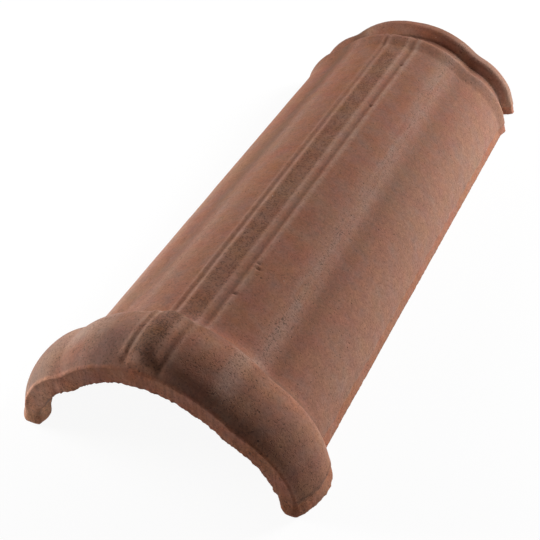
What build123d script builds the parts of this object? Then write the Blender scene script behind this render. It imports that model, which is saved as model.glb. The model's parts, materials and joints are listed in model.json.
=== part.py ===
from build123d import *
import os
from math import asin, atan2, cos, radians, sin, sqrt

# A clay ridge tile, pressed and fired in one piece: an arched barrel, with a collar at its front end that
# laps the head of the next tile along the ridge. X runs across the arch, Y along it from the collar to the
# head, and Z up from the two long edges that it rests on. Lengths are in millimetres, angles in degrees.

# Half section of the barrel's outer face, from the crown down to the foot
crown_height = 72.0
crown_radius = 74.5
crown_angle = 43.5
cove_radius = 26.0
cove_angle = 17.5
shoulder_radius = 53.5
shoulder_angle = 39.5
foot_radius = 22.0
foot_angle = 9.0

# Barrel
overall_length = 466.0
wall = 12.0
trim_allowance = 5.0

# Collar, measured back from its front face and out from the barrel's outer face: a nose that turns up from
# the lip, a broad crest, a steep heel behind it and a hollow that runs out on the barrel
crown_nose_length = 27.0
crown_collar_rise = 16.5
crown_crest_radius = 60.0
foot_nose_length = 24.0
foot_collar_rise = 13.6
foot_crest_radius = 40.0
lip_rise = 5.4
brow_angle = 15.0
crest_angle = 13.0
heel_radius = 9.5
heel_angle = 65.0

# Inside of the collar: the flange behind the front face, and the socket for the next tile's rim
flange_thickness = 12.0
flange_drop = 6.5
socket_ramp = 5.0
socket_length = 34.0
socket_rise = 2.0
socket_taper = 18.0

# Head: the end lip of the barrel, the groove behind it and the rim that stands in the next tile's socket.
# Its end leans, so that the crown stands back from the feet.
crown_setback = 7.0
rim_width = 12.5
rim_height = 7.5
rim_draft = 1.5
rim_chamfer = 2.5
groove_width = 22.5
groove_depth = 7.5
groove_draft = 1.5
crown_end_lip_rise = 3.5
foot_end_lip_rise = 2.0
end_lip_run = 9.0
end_lip_land = 3.0
head_wall = 10.5
head_taper = 20.0

# Strap over the collar, which stands proud of its nose and dies out over its crest, and the pair of grooves
# that carry its edges on along the crown
strap_width = 21.0
strap_depth = 8.5
strap_camber = 3.0
strap_front_rise = 3.5
strap_crest_rise = 1.5
strap_setback = 2.4
strap_dive = 2.6
band_width = 23.4
band_groove_width = 4.6
band_groove_depth = 1.3
band_groove_lift = 1.5
band_setback = 2.0

front = -overall_length / 2
rim_top = rim_height - groove_depth
head_inside = -groove_depth - head_wall
barrel_reach = overall_length - rim_width - groove_width
taper_end = barrel_reach - crown_setback
band_groove_reach = band_groove_width / 2 * (1 + band_groove_lift / band_groove_depth)


def side_plane(x):
    # Local x runs back from the front face, local y up from the barrel's outer face at this distance across
    fall = crown_radius - sqrt(crown_radius**2 - x**2)
    return Plane(origin=(x, front, crown_height - fall), x_dir=(0, 1, 0), z_dir=(1, 0, 0))


def start_plane(line):
    # Square to the line's first point, with local y pointing out of the clay
    return Plane(origin=line.line @ 0, x_dir=(-1, 0, 0), z_dir=line.line % 0)


def collar_outline(start, lip, nose, rise, crest_radius, dive=0):
    # The collar's outer face, from the start to its end on the barrel, or below it where it dives
    brow, crest, heel = radians(brow_angle), radians(crest_angle), radians(heel_angle)
    run = nose - crest_radius * sin(brow)
    climb = rise - lip - crest_radius * (1 - cos(brow))
    lip_angle = 2 * atan2(climb, run) - brow
    nose_radius = run / (sin(lip_angle) - sin(brow))

    def nose_point(angle):
        across = nose_radius * (sin(lip_angle) - sin(angle))
        return (across, lip + nose_radius * (cos(angle) - cos(lip_angle)))

    first = asin(sin(lip_angle) - start / nose_radius)
    ThreePointArc(nose_point(first), nose_point((first + brow) / 2), nose_point(brow))
    top = JernArc(nose_point(brow), (cos(brow), sin(brow)), crest_radius, -brow_angle - crest_angle)
    back = JernArc(top @ 1, top % 1, heel_radius, crest_angle - heel_angle)
    hollow_start = rise - crest_radius * (1 - cos(crest)) - heel_radius * (cos(crest) - cos(heel))
    hollow_radius = (hollow_start + dive) / (1 - cos(heel))
    return JernArc(back @ 1, back % 1, hollow_radius, heel_angle)


def outer_outline(start, nose, collar_rise, crest_radius, end_lip_rise, barrel_end):
    # The collar's outline, carried on along the barrel and up its end lip to the lip's edge
    hollow = collar_outline(start, lip_rise, nose, collar_rise, crest_radius)
    end_lip_start = (barrel_end - end_lip_land - end_lip_run, 0)
    end_lip_crest = (barrel_end - end_lip_land, end_lip_rise)
    return Polyline(hollow @ 1, end_lip_start, end_lip_crest, (barrel_end, end_lip_rise))


with BuildPart() as ridge_tile:
    # One half of the arch, from the crown down past the level at which the feet are trimmed
    with BuildLine(Plane(origin=(0, front, 0), x_dir=(1, 0, 0), z_dir=(0, -1, 0))) as arch:
        crown = JernArc((0, crown_height), (1, 0), crown_radius, -crown_angle)
        cove = JernArc(crown @ 1, crown % 1, cove_radius, cove_angle)
        shoulder = JernArc(cove @ 1, cove % 1, shoulder_radius, -shoulder_angle)
        foot = JernArc(shoulder @ 1, shoulder % 1, foot_radius, -foot_angle)
        skirt_length = -(foot @ 1).Z / (foot % 1).Z
        trim_length = -trim_allowance / (foot % 1).Z
        skirt = Line(foot @ 1, foot @ 1 + (foot % 1) * (skirt_length + trim_length))
    arch_path = arch.wires()[0]
    trim_share = trim_length / (arch_path.length - trim_length)

    # The wall's profile along the tile, at the crown and at the foot, and the wall swept between them. The
    # head's lean is carried on below the feet, so that it comes out whole at the level of their trim.
    skirt_reach = barrel_reach + crown_setback * trim_share
    crown_collar = (crown_nose_length, crown_collar_rise, crown_crest_radius)
    crown_sizes = (*crown_collar, crown_end_lip_rise, barrel_reach - crown_setback)
    foot_collar = (foot_nose_length, foot_collar_rise, foot_crest_radius)
    foot_sizes = (*foot_collar, foot_end_lip_rise, skirt_reach)
    skirt_end = Plane(origin=skirt @ 1, x_dir=(0, 1, 0), z_dir=skirt % 1)
    for plane, sizes in ((side_plane(0), crown_sizes), (skirt_end, foot_sizes)):
        barrel_end = sizes[-1]
        groove_end = barrel_end + groove_width
        head_end = groove_end + rim_width
        with BuildSketch(plane):
            with BuildLine():
                end_lip = outer_outline(0, *sizes)
                Polyline(
                    end_lip @ 1,
                    (barrel_end + groove_draft, -groove_depth),
                    (groove_end, -groove_depth),
                    (groove_end + rim_draft, rim_top - rim_chamfer),
                    (groove_end + rim_draft + rim_chamfer, rim_top),
                    (head_end - rim_chamfer, rim_top),
                    (head_end, rim_top - rim_chamfer),
                    (head_end, head_inside),
                    (taper_end, head_inside),
                    (taper_end - head_taper, -wall),
                    (socket_length + socket_taper, -wall),
                    (socket_length, socket_rise),
                    (flange_thickness + socket_ramp, socket_rise),
                    (flange_thickness, -flange_drop),
                    (0, -flange_drop),
                    (0, lip_rise),
                )
            make_face()
    sweep(path=arch_path, multisection=True)
    mirror(about=Plane.YZ)
    split(bisect_by=Plane.XY, keep=Keep.TOP)

    # The two grooves run from behind the front lip, over the collar and on to the end of the barrel
    for side in (-1, 1):
        with BuildLine(side_plane(side * band_width / 2)) as groove_line:
            end_lip = outer_outline(band_setback, *crown_sizes)
            Line(end_lip @ 1, end_lip @ 1 + (end_lip % 1) * groove_draft)
        with BuildSketch(start_plane(groove_line)):
            Polygon(
                (0, -band_groove_depth),
                (band_groove_reach, band_groove_lift),
                (-band_groove_reach, band_groove_lift),
                align=None,
            )
        sweep(path=groove_line.wires()[0], mode=Mode.SUBTRACT)

    # The strap lies over the collar, sunk in it, and dives into the crown behind the heel
    with BuildLine(side_plane(0)) as strap_line:
        collar_outline(
            strap_setback,
            lip_rise + strap_front_rise,
            crown_nose_length,
            crown_collar_rise + strap_crest_rise,
            crown_crest_radius,
            strap_dive,
        )
    with BuildSketch(start_plane(strap_line)):
        with BuildLine():
            strap_top = ThreePointArc(
                (-strap_width / 2, -strap_camber), (0, 0), (strap_width / 2, -strap_camber)
            )
            Polyline(
                strap_top @ 1,
                (strap_width / 2, -strap_depth),
                (-strap_width / 2, -strap_depth),
                strap_top @ 0,
            )
        make_face()
    sweep(path=strap_line.wires()[0])

ridge_tile.part.label = "ridge_tile"
os.makedirs("parts", exist_ok=True)
export_step(ridge_tile.part, "parts/ridge_tile.step")
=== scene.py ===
import json
from math import radians

import bpy
import numpy as np
from mathutils import Matrix, Vector

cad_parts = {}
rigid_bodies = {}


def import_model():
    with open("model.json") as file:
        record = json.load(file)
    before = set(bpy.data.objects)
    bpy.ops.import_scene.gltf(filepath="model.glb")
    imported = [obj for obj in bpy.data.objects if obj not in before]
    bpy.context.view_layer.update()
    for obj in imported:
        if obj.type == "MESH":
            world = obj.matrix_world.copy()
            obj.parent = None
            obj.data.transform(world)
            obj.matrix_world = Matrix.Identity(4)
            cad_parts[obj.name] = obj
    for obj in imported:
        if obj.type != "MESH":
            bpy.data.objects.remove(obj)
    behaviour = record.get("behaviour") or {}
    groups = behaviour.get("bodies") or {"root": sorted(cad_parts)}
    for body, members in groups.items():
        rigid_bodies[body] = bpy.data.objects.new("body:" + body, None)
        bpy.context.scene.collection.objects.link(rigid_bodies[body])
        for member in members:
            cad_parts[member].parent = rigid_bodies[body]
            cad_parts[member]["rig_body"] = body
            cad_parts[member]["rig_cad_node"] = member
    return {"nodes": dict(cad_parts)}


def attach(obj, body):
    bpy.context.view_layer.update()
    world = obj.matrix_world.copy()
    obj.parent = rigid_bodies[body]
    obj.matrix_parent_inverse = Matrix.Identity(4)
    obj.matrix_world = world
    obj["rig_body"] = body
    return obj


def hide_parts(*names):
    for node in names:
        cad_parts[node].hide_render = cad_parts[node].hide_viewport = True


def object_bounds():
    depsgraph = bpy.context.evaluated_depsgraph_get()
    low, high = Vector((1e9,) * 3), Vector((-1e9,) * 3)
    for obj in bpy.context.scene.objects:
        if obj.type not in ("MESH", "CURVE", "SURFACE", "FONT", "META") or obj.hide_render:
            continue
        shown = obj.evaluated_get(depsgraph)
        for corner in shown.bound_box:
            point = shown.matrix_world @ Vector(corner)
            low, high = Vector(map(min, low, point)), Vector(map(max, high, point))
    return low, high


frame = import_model()
cadLow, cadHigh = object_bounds()
front = cadLow[1] * 1000  # the front face, in millimetres
print("frame: ridge tile box", [round(high - low, 4) for low, high in zip(cadLow, cadHigh)])


def pickOnly(piece):
    bpy.ops.object.select_all(action="DESELECT")
    piece.select_set(True)
    bpy.context.view_layer.objects.active = piece


def useModifier(piece, kind, **settings):
    pickOnly(piece)
    modifier = piece.modifiers.new(kind.title(), kind)
    for key, value in settings.items():
        setattr(modifier, key, value)
    bpy.ops.object.modifier_apply(modifier=modifier.name)


def clayNoise(name, size, depth):  # size in metres, the width of one lump
    noise = bpy.data.textures.new(name, "CLOUDS")
    noise.noise_scale = size
    noise.noise_depth = depth
    noise.noise_basis = "IMPROVED_PERLIN"
    return noise


def vectors(piece, name):  # "co" for places, "normal" for the way the skin faces
    values = np.zeros(len(piece.data.vertices) * 3, np.float32)
    piece.data.vertices.foreach_get(name, values)
    return values.reshape(-1, 3).astype(float)


def weigh(piece, name, weights):  # a vertex group, in hundredths
    group = piece.vertex_groups.new(name=name)
    steps = np.rint(np.clip(weights, 0, 1) * 100).astype(int)
    for step in range(1, 101):
        chosen = np.nonzero(steps == step)[0].tolist()
        if chosen:
            group.add(chosen, step / 100, "REPLACE")
    return name


def soften(piece, name, weights, turns):
    useModifier(piece, "SMOOTH", factor=0.5, iterations=turns, vertex_group=weigh(piece, name, weights))


def swell(piece, name, rise):  # moves the skin out or in along its normals, by millimetres
    for way, sign in (("Out", 1), ("In", -1)):
        most = (rise * sign).max()
        if most > 0:
            group = weigh(piece, name + way, rise * sign / most)
            useModifier(piece, "DISPLACE", strength=sign * most / 1000, mid_level=0, vertex_group=group)


def roughen(piece, name, weights, size, depth, strength, middle):
    useModifier(
        piece, "DISPLACE", texture=clayNoise(name, size, depth), texture_coords="LOCAL",
        strength=strength, mid_level=middle, vertex_group=weigh(piece, name, weights),
    )


def fade(value, low, high):  # 0 at low, 1 at high, eased
    t = np.clip((value - low) / (high - low), 0, 1)
    return t * t * (3 - 2 * t)


def hump(value, middle, width):
    return np.exp(-(((value - middle) / width) ** 2))


# the section of the barrel's outer face, in millimetres and degrees, as it is pressed
arch = {
    "crownHeight": 72.0,
    "bends": [(74.5, 43.5), (26.0, -17.5), (53.5, 39.5), (22.0, 9.0)],  # radius, turn
    "step": 0.5,
    "skirt": 40.0,
    "batch": 20000,  # points measured at a time
}


def archLine():
    x, z, lean = 0.0, arch["crownHeight"], 0.0
    line = [(x, z, lean)]
    for radius, turn in arch["bends"]:
        count = max(2, int(radius * radians(abs(turn)) / arch["step"]))
        for _ in range(count):
            stride = radius * radians(abs(turn)) / count
            middle = lean + radians(turn) / count / 2
            x += stride * np.cos(middle)
            z -= stride * np.sin(middle)
            lean += radians(turn) / count
            line.append((x, z, lean))
    for _ in range(int(arch["skirt"] / arch["step"])):
        x += arch["step"] * np.cos(lean)
        z -= arch["step"] * np.sin(lean)
        line.append((x, z, lean))
    return np.array(line)


def overBarrel(co, normal):  # how far each point stands out from the barrel's face, and whether it faces out
    line = archLine()
    lineOut = np.stack([np.sin(line[:, 2]), np.cos(line[:, 2])], 1)
    side = np.stack([np.abs(co[:, 0]), co[:, 2]], 1)
    turned = np.stack([normal[:, 0] * np.sign(co[:, 0]), normal[:, 2]], 1)
    out, facing = np.zeros(len(side)), np.zeros(len(side))
    for start in range(0, len(side), arch["batch"]):
        part = slice(start, start + arch["batch"])
        near = ((side[part, None] - line[None, :, :2]) ** 2).sum(2).argmin(1)
        out[part] = ((side[part] - line[near, :2]) * lineOut[near]).sum(1)
        facing[part] = (turned[part] * lineOut[near]).sum(1)
    return out, facing


# the dressed tile: the CAD solid's own shape, remeshed fine enough to wear and roughen. Here and below, a name
# that ends in Start, End or Top is a stretch over which a form fades, in millimetres
tile = {
    "node": "ridge_tile",
    "name": "fired_tile",
    "weld": 0.00001,
    "voxel": 0.0010,
    "soften": 4,
    "triangles": 192000,
    "warp": 0.0006,
    "warpSize": 0.035,
    "facingOut": (0.0, 0.4),
    "outerFace": (-3.5, -1.5),
    "collarEnd": (50, 62),
}
# the strap, and the folds pressed along the crown: place across, half width and rise, in millimetres. The nicks
# have a place across and a place back from the front face
crown = {
    "strapSoften": 9,
    "strapStart": (0, 2),
    "strapSideEnd": (14, 18),
    "strapFolds": [(-15.0, 1.2, 0.1), (-11.5, 1.5, 0.9), (-1.5, 6.5, 1.2), (14.6, 3.0, -0.5)],
    "grooveSoften": 5,
    "grooveStart": (3, 7),
    "groove": (12.0, 5.0),
    "foldStart": (4, 9),
    "foldEnd": (423, 427),
    "folds": [
        (-14.6, 1.1, 0.25), (-13.4, 1.2, 0.75), (-12.0, 1.3, 0.35), (-8.6, 2.2, 0.4),
        (0.0, 4.5, -0.2), (7.4, 2.0, 0.3), (15.2, 2.0, 0.5),
    ],
    "nicks": [(15.5, 120.0), (17.0, 115.5), (14.6, 88.5), (12.5, 386.0), (12.4, 320.0)],
    "nickReach": (1.9, 0.7),
    "nickDepth": 1.2,
}
# the bead round the front face, and the clay broken away inside it
lip = {
    "bead": 0.45,
    "beadPlace": (0.6, 5.4),  # back from the front face, out from the barrel
    "beadReach": 1.6,
    "innerEdge": -6.5,
    "brokenEnd": (1.2, 4.5),
    "broken": {"size": 0.0036, "depth": 3, "strength": 0.0026, "middle": 0.62},
}
# the feet: the trim along them, the swelling under the collar's ends, and the toes at the front
feet = {
    "sides": (-20, 20),  # from the left foot to the right
    "trim": 0.6,
    "trimTop": 7.5,
    "collarTrimTop": 9.5,
    "trimEdge": 0.7,
    "trimStart": (3, 9),
    "bulge": 0.9,
    "bulgeHigh": (4, 4),
    "bulgeEnd": (8, 22),
    "bulgeLess": 0.7,  # how much of it the right foot lacks
    "toeBulge": 0.6,
    "toeInside": (0.1, 0.5),
    "toeBulgeHigh": (3.5, 5),
    "toeBulgeEnd": (9, 16),
    "toePush": 2.8,
    "toeOutside": (0.1, 0.6),
    "toeUnder": (-0.75, -0.35),
    "toePushHigh": (1, 7),
    "toePushEnd": (2, 7),
    "toePushSide": (20, 60),
    "soften": 8,
    "softenTop": (1.5, 5.5),
    "toeSoften": 60,
    "toeSoftenTop": (9, 16),
    "toeSoftenEnd": (9, 18),
    "cutOfTrim": 0.6,
    "cut": {"size": 0.004, "depth": 2, "strength": 0.0009, "middle": 0.7},
}
# corners knocked off the inside of the front feet: a point on the break, in millimetres back from the front
# face, the way the break faces, and its reach
chips = {
    "right": {"point": (85.0, 0.0, 5.0), "faces": (-0.88, -0.5, -0.48), "reach": 20.0},
    "left": {"point": (-83.3, 0.0, 10.0), "faces": (0.8, -0.55, -0.26), "reach": 16.0},
}

pickOnly(frame["nodes"][tile["node"]])
bpy.ops.object.duplicate()
ridge = bpy.context.active_object
ridge.name = tile["name"]
ridge.data.name = tile["name"]
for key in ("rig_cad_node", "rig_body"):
    del ridge[key]
ridge.parent = None
ridge.matrix_world = Matrix.Identity(4)
ridge.data.materials.clear()
bpy.ops.object.mode_set(mode="EDIT")
bpy.ops.mesh.select_all(action="SELECT")
bpy.ops.mesh.remove_doubles(threshold=tile["weld"])
bpy.ops.object.mode_set(mode="OBJECT")
for chip in chips.values():
    faces = Vector(chip["faces"]).normalized()
    point = Vector(chip["point"]) / 1000 + Vector((0, cadLow[1], 0))
    bpy.ops.object.select_all(action="DESELECT")
    bpy.ops.mesh.primitive_cube_add(size=chip["reach"] / 1000, location=point + faces * chip["reach"] / 2000)
    block = bpy.context.active_object
    block.rotation_euler = faces.to_track_quat("Z", "Y").to_euler()
    useModifier(ridge, "BOOLEAN", operation="DIFFERENCE", solver="EXACT", object=block)
    pickOnly(block)
    bpy.ops.object.delete()
useModifier(ridge, "REMESH", mode="VOXEL", voxel_size=tile["voxel"], adaptivity=0)
useModifier(ridge, "SMOOTH", factor=0.5, iterations=tile["soften"])
print("tile: remeshed to", len(ridge.data.polygons), "faces")

co = vectors(ridge, "co") * 1000
x, along, high = co[:, 0], co[:, 1] - front, co[:, 2]
across = np.abs(x)
normal = vectors(ridge, "normal")
out, facing = overBarrel(co, normal)
skin = fade(facing, *tile["facingOut"])
outer = skin * fade(out, *tile["outerFace"])
collarLong = 1 - fade(along, *tile["collarEnd"])

# the strap is rounded over, and the tools leave folds along the crown
strap = outer * (1 - fade(across, *crown["strapSideEnd"])) * fade(along, *crown["strapStart"]) * collarLong
soften(ridge, "strap", strap, crown["strapSoften"])
grooves = outer * hump(across, *crown["groove"]) * fade(along, *crown["grooveStart"])
soften(ridge, "grooves", grooves, crown["grooveSoften"])
crownLong = outer * fade(along, *crown["foldStart"]) * (1 - fade(along, *crown["foldEnd"]))
folds = sum(rise * hump(x, middle, width) for middle, width, rise in crown["folds"])
folds += collarLong * sum(rise * hump(x, middle, width) for middle, width, rise in crown["strapFolds"])
nickWide, nickLong = crown["nickReach"]
nicks = sum(hump(x, nickX, nickWide) * hump(along, nickY, nickLong) for nickX, nickY in crown["nicks"])
swell(ridge, "folds", crownLong * (folds - crown["nickDepth"] * nicks))
print("tile: strap and crown folds pressed")

# a soft bead round the front face, and clay broken away along its inner edge
beadBack, beadOut = lip["beadPlace"]
bead = hump(np.hypot(along - beadBack, out - beadOut), 0, lip["beadReach"])
swell(ridge, "lipBead", skin * lip["bead"] * bead)
innerLip = np.hypot(along, out - lip["innerEdge"])
roughen(ridge, "brokenLip", 1 - fade(innerLip, *lip["brokenEnd"]), **lip["broken"])

# feet trimmed along the outside by a wandering cut, and swollen under the collar's ends
rightSide = fade(x, *feet["sides"])
leftSide = 1 - rightSide
wander = 0.45 * np.sin(along / 3.1) + 0.4 * np.sin(along / 7.7 + 1) + 0.3 * np.sin(along / 1.7 + x)
trimTop = feet["trimTop"] + (feet["collarTrimTop"] - feet["trimTop"]) * collarLong + wander
trim = skin * (1 - fade(high, trimTop - feet["trimEdge"], trimTop + feet["trimEdge"]))
bulge = hump(high, *feet["bulgeHigh"]) * (1 - fade(along, *feet["bulgeEnd"]))
bulge *= 1 - feet["bulgeLess"] * rightSide
swell(ridge, "footTrim", feet["bulge"] * bulge - feet["trim"] * trim * fade(along, *feet["trimStart"]))

# the left toe is swollen inside and worn round, and the right one drawn forward, but not under the foot
toeInside = fade(-facing, *feet["toeInside"]) * hump(high, *feet["toeBulgeHigh"])
toeInside = toeInside * (1 - fade(along, *feet["toeBulgeEnd"])) * leftSide
toeFront = (1 - fade(facing, *feet["toeOutside"])) * fade(normal[:, 2], *feet["toeUnder"])
toeFront *= (
    hump(high, *feet["toePushHigh"]) * (1 - fade(along, *feet["toePushEnd"])) * fade(x, *feet["toePushSide"])
)
swell(ridge, "toeBulge", feet["toeBulge"] * toeInside + feet["toePush"] * toeFront)
soles = 1 - fade(high, *feet["softenTop"])
soften(ridge, "feet", soles, feet["soften"])
toes = (1 - fade(high, *feet["toeSoftenTop"])) * (1 - fade(along, *feet["toeSoftenEnd"])) * leftSide
soften(ridge, "toes", toes, feet["toeSoften"])
roughen(ridge, "cutFeet", np.maximum(soles, feet["cutOfTrim"] * trim), **feet["cut"])
useModifier(
    ridge, "DISPLACE", texture=clayNoise("pressedClay", tile["warpSize"], 2), texture_coords="LOCAL",
    strength=tile["warp"], mid_level=0.5,
)
print("tile: edges broken and feet trimmed")

count = sum(len(face.vertices) - 2 for face in ridge.data.polygons)
if count > tile["triangles"]:
    useModifier(ridge, "DECIMATE", decimate_type="COLLAPSE", ratio=tile["triangles"] / count)
pickOnly(ridge)
bpy.ops.object.shade_smooth()
for group in list(ridge.vertex_groups):
    ridge.vertex_groups.remove(group)
print("tile: thinned to", len(ridge.data.polygons), "faces")


class Wire:  # one socket of a node tree, with arithmetic
    def __init__(self, tree, socket=None):
        self.tree = tree
        self.socket = socket

    def node(self, kind, settings, inputs, out=0):  # settings first, then values or links
        made = self.tree.nodes.new("ShaderNode" + kind)
        for key, value in settings.items():
            setattr(made, key, value)
        for key, value in inputs.items():
            if isinstance(value, Wire):
                self.tree.links.new(value.socket, made.inputs[key])
            else:
                made.inputs[key].default_value = value
        return Wire(self.tree, made.outputs[out])

    def show(self, kind):  # on the surface of a material or the world
        self.tree.links.new(self.socket, self.tree.nodes.new("ShaderNodeOutput" + kind).inputs["Surface"])

    def maths(self, operation, first, second=0.0):
        return self.node("Math", {"operation": operation}, {0: first, 1: second})

    def __add__(self, other):
        return self.maths("ADD", self, other)

    def __radd__(self, other):
        return self.maths("ADD", other, self)

    def __sub__(self, other):
        return self.maths("SUBTRACT", self, other)

    def __rsub__(self, other):
        return self.maths("SUBTRACT", other, self)

    def __mul__(self, other):
        return self.maths("MULTIPLY", self, other)

    def __rmul__(self, other):
        return self.maths("MULTIPLY", other, self)

    def __truediv__(self, other):
        return self.maths("DIVIDE", self, other)

    def __abs__(self):
        return self.maths("ABSOLUTE", self)

    def fade(self, low, high):  # 0 at low, 1 at high, eased
        return self.node(
            "MapRange", {"interpolation_type": "SMOOTHSTEP"},
            {"Value": self, "From Min": low, "From Max": high, "To Min": 0.0, "To Max": 1.0},
        )

    def hump(self, middle, width):  # 1 at the middle, 0 a width away on both sides
        return 1 - abs(self - middle).fade(0.0, width)


def newMaterial(name):
    material = bpy.data.materials.new(name)
    material.use_nodes = True
    material.node_tree.nodes.clear()
    return material, Wire(material.node_tree)


def srgb(red, green, blue):  # a colour as it is picked on screen, 0 to 255
    return tuple(
        c / 12.92 if c <= 0.04045 else ((c + 0.055) / 1.055) ** 2.4
        for c in (red / 255, green / 255, blue / 255)
    ) + (1.0,)


clay = {
    "brown": srgb(146, 103, 82),
    "red": srgb(151, 100, 79),
    "pale": srgb(168, 131, 112),
    "dark": srgb(108, 75, 58),
    "grey": srgb(160, 128, 112),
    "raw": srgb(154, 96, 72),
    "trim": srgb(166, 110, 84),
    "pitAndShade": srgb(70, 50, 40),
    "fleck": srgb(205, 190, 178),
    "ash": srgb(190, 168, 154),
    "umber": srgb(120, 80, 59),
    "rust": srgb(136, 89, 67),
    "rubbedAndHighlight": srgb(172, 122, 95),
    "plum": srgb(112, 84, 77),
    "tan": srgb(196, 142, 114),
    "paintedToeLight": srgb(222, 170, 140),
}
# noises in the clay: scale, detail and roughness
clouds = {
    "patches": (14.0, 4.0, 0.55),
    "tints": (60.0, 3.0, 0.5),
    "mottle": (80.0, 5.0, 0.62),
    "dust": (170.0, 4.0, 0.6),
    "grain": (620.0, 3.0, 0.65),
    "sand": (900.0, 2.0, 0.6),
    "streaks": (110.0, 4.0, 0.6),
    "combed": (420.0, 2.0, 0.6),
}
# where the marks lie, in millimetres: a middle and a reach, or a start and an end
marks = {
    "collarEnd": (30.0, 64.0),
    "crownStart": (4.0, 10.0),
    "crownEnd": (424.0, 430.0),
    "offCrown": (20.0, 55.0),
    "flankDustAndSheen": (56.0, 96.0),
    "ashenHump": (-54.0, 24.0),
    "ashenStart": (8.0, 24.0),
    "ashenFlank": (-78.0, -60.0),
    "ashenEnd": (90.0, 300.0),
    "plumNose": (-27.0, 18.0),
    "plumEnd": (14.0, 30.0),
    "endShadeStart": (395.0, 430.0),
    "endShadeLeft": (-75.0, -35.0),
    "endShadeCollar": (-86.0, -66.0),
    "rimStart": (446.0, 450.0),
    "rimRight": (38.0, 52.0),
    "rustLeft": (-19.0, 12.0),
    "rustRight": (25.0, 15.0),
    "rustStart": (80.0, 300.0),
    "collarRight": (-12.0, 16.0),
    "crestHighlight": (34.0, 10.0),
    "heel": (46.0, 8.0),
    "brow": (16.0, 11.0),
    "bandEdge": (4.5, 8.5),
    "bandEnd": (385.0, 420.0),
    "strapMiddle": (-5.0, 9.0),
    "strapTip": (5.0, 3.5),
    "wornStart": (0.0, 300.0),
    "wornLeft": (-9.4, 3.2),
    "wornInside": (6.8, 3.2),
    "wornRight": (15.0, 3.2),
    "wornFold": (-14.2, 1.6),
    "grooveShadeLeft": (-12.0, 1.0),
    "grooveShadeRight": (11.0, 2.4),
    "streakRight": (44.5, 10.0),
    "streakLeft": (-39.5, 9.0),
    "hollowRight": (55.5, 8.0),
    "hollowShadeLeft": (-50.0, 12.0),
    "hollowStart": (50.0, 120.0),
    "trimTop": (6.5, 8.5),
    "trimLine": (9.3, 2.2),
    "face": (0.4, 2.0),
    "faceLeft": (-95.0, -20.0),
    "toe": (-80.0, 10.0),
    "toeTop": (14.0, 22.0),
    "toeStart": (0.5, 4.0),
    "toeEnd": (12.0, 16.0),
    "rippleMiddle": (-1.0, 8.0),
    "rippleCrest": (27.0, 10.0),
}
finish = {"bump": 0.45, "bumpDepth": 0.0008, "rough": 0.84, "roughSpread": 0.14, "gloss": 0.25, "matt": 0.5}


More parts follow.
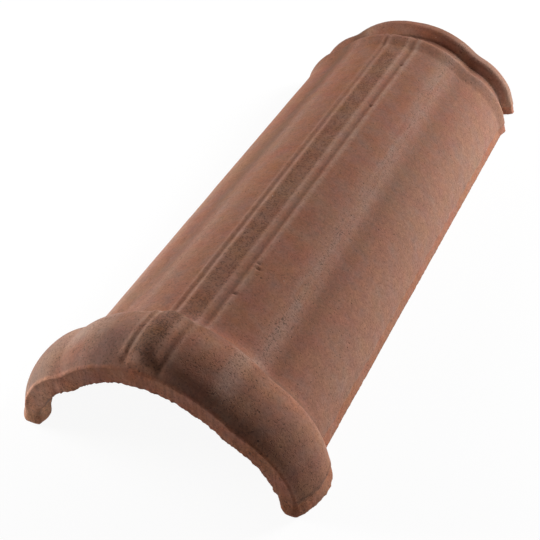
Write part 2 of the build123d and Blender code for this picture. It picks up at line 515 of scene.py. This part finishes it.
def firedClay():
    material, wire = newMaterial("fired_clay")
    place = wire.node("TexCoord", {}, {}, out="Object")
    x, y, z = (wire.node("SeparateXYZ", {}, {0: place}, out=i) * 1000 for i in range(3))  # millimetres
    y = y - front  # back from the front face
    far = abs(x)

    def cloud(name, vector=place):
        scale, detail, roughness = clouds[name]
        return wire.node(
            "TexNoise", {}, {"Vector": vector, "Scale": scale, "Detail": detail, "Roughness": roughness},
        )

    def near(axis, name):  # 1 at the mark's middle, 0 at its reach
        return axis.hump(*marks[name])

    def past(axis, name):  # 0 at the mark's start, 1 at its end
        return axis.fade(*marks[name])

    def specks(scale, small, large, crowd):  # round spots at random, in that share of the cells
        spot = {"Vector": place, "Scale": scale, "Randomness": 1.0}
        away = wire.node("TexVoronoi", {"feature": "F1"}, spot, out="Distance")
        cell = wire.node("TexVoronoi", {"feature": "F1"}, spot, out="Color")
        pick = wire.node("SeparateColor", {}, {0: cell})
        return (1 - away.fade(small, large)) * (1 - (pick - crowd).fade(0.0, 0.02))

    patches, tints, mottle = cloud("patches"), cloud("tints"), cloud("mottle")
    dust, grain, sand = cloud("dust"), cloud("grain"), cloud("sand")
    drawn = wire.node("Mapping", {}, {"Vector": place, "Scale": (1.0, 0.1, 1.0)})
    streaks = cloud("streaks", drawn)  # stretched along the tile
    upright = wire.node("Mapping", {}, {"Vector": place, "Scale": (1.0, 1.0, 0.15)})
    combed = cloud("combed", upright)  # the wire's marks down the front face

    # ash and plum lie in large patches, painted shade darkens the far end on the left and the collar's left
    # foot, and rust lies beside the band
    collar = 1 - past(y, "collarEnd")
    crownLong = past(y, "crownStart") * (1 - past(y, "crownEnd"))
    # the flanks are paler, partly with dust and partly as a painted sheen
    flankDustAndSheen = past(far, "flankDustAndSheen") * (0.5 + 0.5 * dust) * (1 - 0.7 * collar)
    ashen = 0.8 * near(x, "ashenHump") * past(y, "ashenStart") * collar
    ashen = ashen + 0.6 * (1 - past(x, "ashenFlank")) * (1 - past(y, "ashenEnd"))
    plum = near(x, "plumNose") * collar * (1 - past(y, "plumEnd"))
    endShade = 0.5 * past(y, "endShadeStart") * (1 - past(x, "endShadeLeft"))
    endShade = endShade + 0.4 * collar * (1 - past(x, "endShadeCollar"))
    rusty = 0.55 * near(x, "rustLeft") + 0.45 * near(x, "rustRight")
    rusty = rusty * (0.5 + 0.5 * past(y, "rustStart")) * (1 - collar)

    # painted highlight on the right of the collar's crest, with painted shade under its brow and behind its
    # heel
    side = past(x, "collarRight")
    crestHighlight = 0.55 * near(y, "crestHighlight") * side
    heelAndBrowShade = side * (0.85 * near(y, "heel") + 0.35 * near(y, "brow"))

    # the band along the crown is dark and sandy, with its edges worn pale, and painted shade in its grooves and
    # nicks
    band = (1 - past(abs(x + 0.8), "bandEdge")) * crownLong * (1 - 0.6 * past(y, "bandEnd"))
    rubbedAndHighlight = past(y, "wornStart") * 0.5 + 0.8
    worn = 1.1 * near(x, "wornLeft") + rubbedAndHighlight * (near(x, "wornInside") + 1.1 * near(x, "wornRight"))
    worn = worn + 0.5 * near(x, "wornFold")
    nickShade = sum(x.hump(nickX, 2.4) * y.hump(nickY, 1.0) for nickX, nickY in crown["nicks"])
    grooveShade = 0.22 * near(x, "grooveShadeLeft") + 0.25 * near(x, "grooveShadeRight") + 0.7 * nickShade

    # grey streaks along both sides, and painted shade in the hollows beside them, a little askew on the right
    slant = x + 0.012 * (y - 150.0)
    right = near(slant, "streakRight") * streaks.fade(0.25, 0.6)
    left = near(x, "streakLeft") * streaks.fade(0.25, 0.65)
    hollowShadeLeft = (1.6 + y / 500.0) * near(x, "hollowShadeLeft") * past(y, "hollowStart")
    hollowShade = wire.maths("MAXIMUM", near(slant, "hollowRight"), hollowShadeLeft)

    # raw clay on the trimmed feet and the front face, and painted light on the inside of the left toe
    trimmed = z + 5.0 * dust - 1.5 * collar - 2.8
    foot = 1 - past(trimmed, "trimTop")
    face = 1 - past(y, "face")
    toe = near(x, "toe") * (1 - past(z, "toeTop")) * past(y, "toeStart") * (1 - past(y, "toeEnd"))

    # pits, holes and flecks
    spread = mottle.fade(0.36, 0.6)
    crowd = 0.95 * band + 0.8 * right * (1 - 0.5 * collar) + 0.35 * left
    crowd = crowd + 0.5 * collar * spread + 0.15 * spread
    pits = (sand + 0.1 * crowd).fade(0.62, 0.72)
    holes = specks(230.0, 0.06, 0.17, 0.05 + 0.04 * collar + 0.05 * right)
    flecks = specks(150.0, 0.03, 0.07, 0.05)

    layers = [  # from the first to the last one laid on
        ("red", patches.fade(0.36, 0.62)),
        ("pale", mottle.fade(0.5, 0.78) * (0.12 + 0.3 * past(far, "offCrown"))),
        ("dark", (1 - mottle.fade(0.22, 0.5)) * 0.3),
        ("pale", flankDustAndSheen * 0.7),
        ("ash", ashen * (0.2 + 0.4 * mottle)),
        ("plum", plum * (0.3 + 0.4 * mottle)),
        ("dark", endShade),
        # painted light: the right of the head's rim made paler where it lies in shade
        ("pale", 0.6 * past(y, "rimStart") * past(x, "rimRight")),
        ("rust", rusty),
        ("rubbedAndHighlight", crestHighlight * (0.6 + 0.6 * dust)),
        ("dark", heelAndBrowShade * (0.7 + 0.5 * mottle)),
        ("umber", band * (0.25 + 0.6 * mottle)),
        ("pale", 0.35 * near(x, "strapMiddle") * near(y, "strapTip")),
        ("pale", worn * crownLong * (0.2 + 0.4 * dust)),
        ("pitAndShade", grooveShade * crownLong),
        ("grey", 0.6 * right + 0.4 * left),
        ("dark", hollowShade * (0.15 + 0.35 * streaks)),
        # painted shadow: a dark line along the top of the trim on the collar's feet
        ("pitAndShade", 0.28 * near(trimmed, "trimLine") * collar),
        ("trim", foot * (0.5 + 0.6 * dust)),
        ("raw", face * (0.45 + 0.6 * dust)),
        ("paintedToeLight", toe),
        # painted light: the front face made paler towards the left
        ("tan", face * (1 - past(x, "faceLeft")) * (0.5 + 0.6 * dust)),
        ("pitAndShade", wire.maths("MAXIMUM", pits * 0.6, holes * 0.8)),
        ("fleck", flecks * 0.7),
    ]
    base = clay["brown"]
    for tint, share in layers:
        base = wire.node("Mix", {"data_type": "RGBA"}, {0: share, 6: base, 7: clay[tint]}, out=2)
    hue = 0.5 + 0.03 * (tints - 0.5)
    strength = 1.0 + 0.5 * (mottle - 0.5)
    shade = 1.0 + 0.9 * (grain - 0.5) + 0.45 * (dust - 0.5) + 0.8 * face * (combed - 0.5)
    base = wire.node(
        "HueSaturation", {}, {"Color": base, "Hue": hue, "Saturation": strength, "Value": shade},
    )

    ripple = wire.maths("SINE", y * 3.6 + 2.5 * dust) * near(x, "rippleMiddle") * near(y, "rippleCrest")
    height = 0.5 * grain + 0.45 * dust + 0.5 * mottle - 0.6 * pits - 1.2 * holes
    height = height + 0.2 * ripple + 0.5 * face * combed
    bump = wire.node(
        "Bump", {}, {"Height": height, "Strength": finish["bump"], "Distance": finish["bumpDepth"]},
    )
    rough = finish["rough"] + finish["roughSpread"] * dust
    shader = wire.node(
        "BsdfPrincipled", {},
        {
            "Base Color": base, "Roughness": rough, "Normal": bump,
            "Specular IOR Level": finish["gloss"], "Diffuse Roughness": finish["matt"],
        },
    )
    shader.show("Material")
    return material


ridge.data.materials.append(firedClay())
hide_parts(tile["node"])
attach(ridge, "root")
print("tile: fired clay on it")

white = (1.0, 1.0, 1.0, 1.0)
stand = {"size": 12.0, "colour": srgb(245, 245, 245), "glow": 0.93, "bounce": 0.25}
bpy.ops.object.select_all(action="DESELECT")
bpy.ops.mesh.primitive_plane_add(size=stand["size"], location=(0, 0, 0))
floor = bpy.context.active_object
floor.name = "pale_floor"


def paleFloor():  # white to the camera, and nearly matt to the light
    material, wire = newMaterial("pale_floor")
    matt = wire.node("BsdfDiffuse", {}, {"Color": stand["colour"]})
    glow = wire.node("Emission", {}, {"Color": white, "Strength": 1.0})
    seen = wire.node("LightPath", {}, {}, out="Is Camera Ray")
    glossy = wire.node("LightPath", {}, {}, out="Is Glossy Ray")
    through = wire.node("LightPath", {}, {}, out="Is Transmission Ray")
    share = wire.maths("MINIMUM", stand["bounce"] + seen + glossy + through, stand["glow"])
    wire.node("MixShader", {}, {0: share, 1: matt, 2: glow}).show("Material")
    return material


floor.data.materials.append(paleFloor())

lamps = {
    "left": {"place": (-0.72, -0.25, 0.25), "aim": (0.0, -0.05, 0.03), "size": 0.45, "power": 9.8},
    "right": {"place": (0.75, 1.02, 0.55), "aim": (0.03, 0.08, 0.03), "size": 0.6, "power": 34.0},
}
for name, lamp in lamps.items():
    bpy.ops.object.light_add(type="AREA", location=lamp["place"])
    light = bpy.context.active_object
    light.name = name + "_lamp"
    light.data.shape = "DISK"
    light.data.size = lamp["size"]
    light.data.energy = lamp["power"]
    away = Vector(lamp["place"]) - Vector(lamp["aim"])
    light.rotation_euler = away.to_track_quat("Z", "Y").to_euler()

studio = {"light": 0.07, "seen": 1.0}  # a dim world, white to the camera
room = bpy.data.worlds.new("studio")
bpy.context.scene.world = room
room.use_nodes = True
room.node_tree.nodes.clear()
air = Wire(room.node_tree)
seen = air.node("LightPath", {}, {}, out="Is Camera Ray")
dim = air.node("Background", {}, {"Color": white, "Strength": studio["light"]})
bright = air.node("Background", {}, {"Color": white, "Strength": studio["seen"]})
air.node("MixShader", {}, {0: seen, 1: dim, 2: bright}).show("World")

# the photo's camera, from a fit to the tile's edges
view = {
    "place": (0.27114, -0.58446, 0.50611),
    "yaw": 27.75,
    "pitch": 39.46,
    "roll": -3.82,
    "lens": 73.615,
    "sensor": 36.0,
    "nearest": 0.01,
}
bpy.ops.object.camera_add()
camera = bpy.context.active_object
camera.name = "photo_camera"
camera.matrix_world = (
    Matrix.Translation(view["place"])
    @ Matrix.Rotation(radians(view["yaw"]), 4, "Z")
    @ Matrix.Rotation(radians(90 - view["pitch"]), 4, "X")
    @ Matrix.Rotation(radians(view["roll"]), 4, "Z")
)
camera.data.sensor_width = view["sensor"]
camera.data.lens = view["lens"]
camera.data.clip_start = view["nearest"]
bpy.context.scene.camera = camera
bpy.context.scene.view_settings.view_transform = "Standard"
